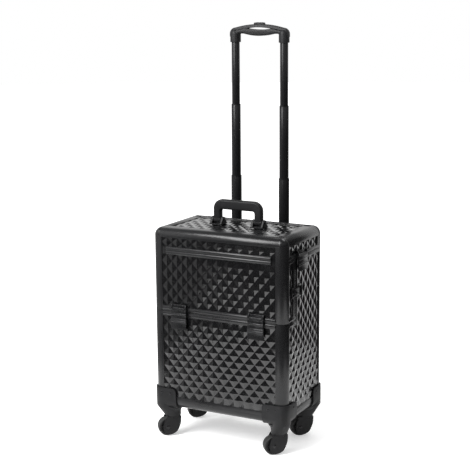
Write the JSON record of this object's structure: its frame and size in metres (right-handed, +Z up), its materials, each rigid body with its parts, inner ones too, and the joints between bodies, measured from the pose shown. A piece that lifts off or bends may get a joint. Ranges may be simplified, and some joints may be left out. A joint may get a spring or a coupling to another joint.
{
  "type": "trolley case",
  "caption": "Aluminium-framed hard trolley case with diamond-embossed panels, hinged cover, toggle latches, carry handle, telescopic pull handle and swivel casters",
  "frame": {"origin": "bottom centre of the part's bounding box, on the floor under the wheels", "axes": "+Z up, +X to the case's right, -Y out of the front with the latches, pull handle at +Y"},
  "size_m": [0.3586, 0.2418, 0.964],
  "materials": {
    "board": "matt laminated board",
    "diamond_sheet": "glossy embossed sheet",
    "grip": "semi-gloss moulded plastic",
    "latch_metal": "satin black plate",
    "profile": "satin black anodised profile",
    "shelf": "matt lining",
    "shoe": "matt moulded plastic",
    "steel": "plain steel",
    "tube": "satin black tube",
    "tyre": "matt tyre"
  },
  "bodies": {
    "case": {"base_board": "board", "rear_board": "board", "side_boards": "board", "front_board": "board", "divider_shelf": "shelf", "front_lower_sheet": "diamond_sheet", "left_side_sheet": "diamond_sheet", "right_side_sheet": "diamond_sheet", "front_posts": "profile", "rear_posts": "profile", "rear_rails": "profile", "bottom_rails": "profile", "case_rim": "profile", "case_corners": "profile", "caster_shoe_fl": "shoe", "caster_shoe_fr": "shoe", "caster_shoe_rl": "shoe", "caster_shoe_rr": "shoe", "tube_clamp": "shoe", "tube_foot": "shoe", "guide_tubes": "tube", "case_hinge_leaf": "latch_metal", "hinge_pin": "steel", "latch_keepers": "latch_metal"},
    "cover": {"cover_top_board": "board", "cover_front_board": "board", "cover_side_boards": "board", "cover_top_sheet": "diamond_sheet", "cover_front_sheets": "diamond_sheet", "cover_left_sheets": "diamond_sheet", "cover_right_sheets": "diamond_sheet", "cover_posts": "profile", "cover_rails": "profile", "cover_rear_bar": "profile", "cover_corners": "profile", "cover_rim": "profile", "lid_band": "profile", "cover_hinge_leaf": "latch_metal", "handle_brackets": "shoe", "latch_bases": "latch_metal"},
    "carry_handle": {"carry_handle": "grip"},
    "front_latch_left": {"front_latch_left": "latch_metal"},
    "front_latch_right": {"front_latch_right": "latch_metal"},
    "side_latch_left": {"side_latch_left": "latch_metal"},
    "side_latch_right": {"side_latch_right": "latch_metal"},
    "stage_3": {"stage_3_tubes": "tube"},
    "stage_2": {"stage_2_tubes": "tube"},
    "pull_handle": {"stage_1_tubes": "tube", "pull_grip": "grip"},
    "release": {"release_button": "grip", "release_rods": "steel"},
    "fork_fl": {"caster_fork_fl": "shoe"},
    "wheel_fl": {"caster_wheel_fl": "tyre"},
    "fork_fr": {"caster_fork_fr": "shoe"},
    "wheel_fr": {"caster_wheel_fr": "tyre"},
    "fork_rl": {"caster_fork_rl": "shoe"},
    "wheel_rl": {"caster_wheel_rl": "tyre"},
    "fork_rr": {"caster_fork_rr": "shoe"},
    "wheel_rr": {"caster_wheel_rr": "tyre"}
  },
  "joints": [
    {"name": "cover_hinge", "type": "hinge", "parent": "case", "child": "cover", "pos_m": [0, 0.0653, 0.5025], "axis": [-1, 0, 0], "range_deg": [0, 60]},
    {"name": "carry_handle_pivot", "type": "hinge", "parent": "cover", "child": "carry_handle", "pos_m": [0, -0.0076, 0.515], "axis": [1, 0, 0], "range_deg": [-80, 80]},
    {"name": "front_latch_left_pivot", "type": "hinge", "parent": "cover", "child": "front_latch_left", "pos_m": [-0.099, -0.1164, 0.32], "axis": [-1, 0, 0], "range_deg": [0, 105]},
    {"name": "side_latch_left_pivot", "type": "hinge", "parent": "cover", "child": "side_latch_left", "pos_m": [-0.1748, -0.0356, 0.459], "axis": [0, 1, 0], "range_deg": [0, 105]},
    {"name": "front_latch_right_pivot", "type": "hinge", "parent": "cover", "child": "front_latch_right", "pos_m": [0.099, -0.1164, 0.32], "axis": [-1, 0, 0], "range_deg": [0, 105]},
    {"name": "side_latch_right_pivot", "type": "hinge", "parent": "cover", "child": "side_latch_right", "pos_m": [0.1748, -0.0356, 0.459], "axis": [0, -1, 0], "range_deg": [0, 105]},
    {"name": "stage_3_slide", "type": "slide", "parent": "case", "child": "stage_3", "axis": [0, 0, 1], "range_m": [-0.11, 0]},
    {"name": "stage_2_slide", "type": "slide", "parent": "stage_3", "child": "stage_2", "axis": [0, 0, 1], "range_m": [-0.167, 0]},
    {"name": "stage_1_slide", "type": "slide", "parent": "stage_2", "child": "pull_handle", "axis": [0, 0, 1], "range_m": [-0.144, 0]},
    {"name": "release_button_slide", "type": "slide", "parent": "pull_handle", "child": "release", "axis": [0, 0, 1], "range_m": [-0.0035, 0], "stiffness_N_per_m": 2000, "springref_m": 0.001},
    {"name": "swivel_fl", "type": "hinge", "parent": "case", "child": "fork_fl", "pos_m": [-0.14, -0.0816, 0.049], "axis": [0, 0, 1], "continuous": true},
    {"name": "roll_fl", "type": "hinge", "parent": "fork_fl", "child": "wheel_fl", "pos_m": [-0.15115, -0.09164, 0.022], "axis": [0.6691, -0.7431, 0], "continuous": true},
    {"name": "swivel_fr", "type": "hinge", "parent": "case", "child": "fork_fr", "pos_m": [0.14, -0.0816, 0.049], "axis": [0, 0, 1], "continuous": true},
    {"name": "roll_fr", "type": "hinge", "parent": "fork_fr", "child": "wheel_fr", "pos_m": [0.12885, -0.09164, 0.022], "axis": [0.6691, -0.7431, 0], "continuous": true},
    {"name": "swivel_rl", "type": "hinge", "parent": "case", "child": "fork_rl", "pos_m": [-0.14, 0.0584, 0.049], "axis": [0, 0, 1], "continuous": true},
    {"name": "roll_rl", "type": "hinge", "parent": "fork_rl", "child": "wheel_rl", "pos_m": [-0.15115, 0.04836, 0.022], "axis": [0.6691, -0.7431, 0], "continuous": true},
    {"name": "swivel_rr", "type": "hinge", "parent": "case", "child": "fork_rr", "pos_m": [0.14, 0.0584, 0.049], "axis": [0, 0, 1], "continuous": true},
    {"name": "roll_rr", "type": "hinge", "parent": "fork_rr", "child": "wheel_rr", "pos_m": [0.12885, 0.04836, 0.022], "axis": [0.6691, -0.7431, 0], "continuous": true}
  ]
}
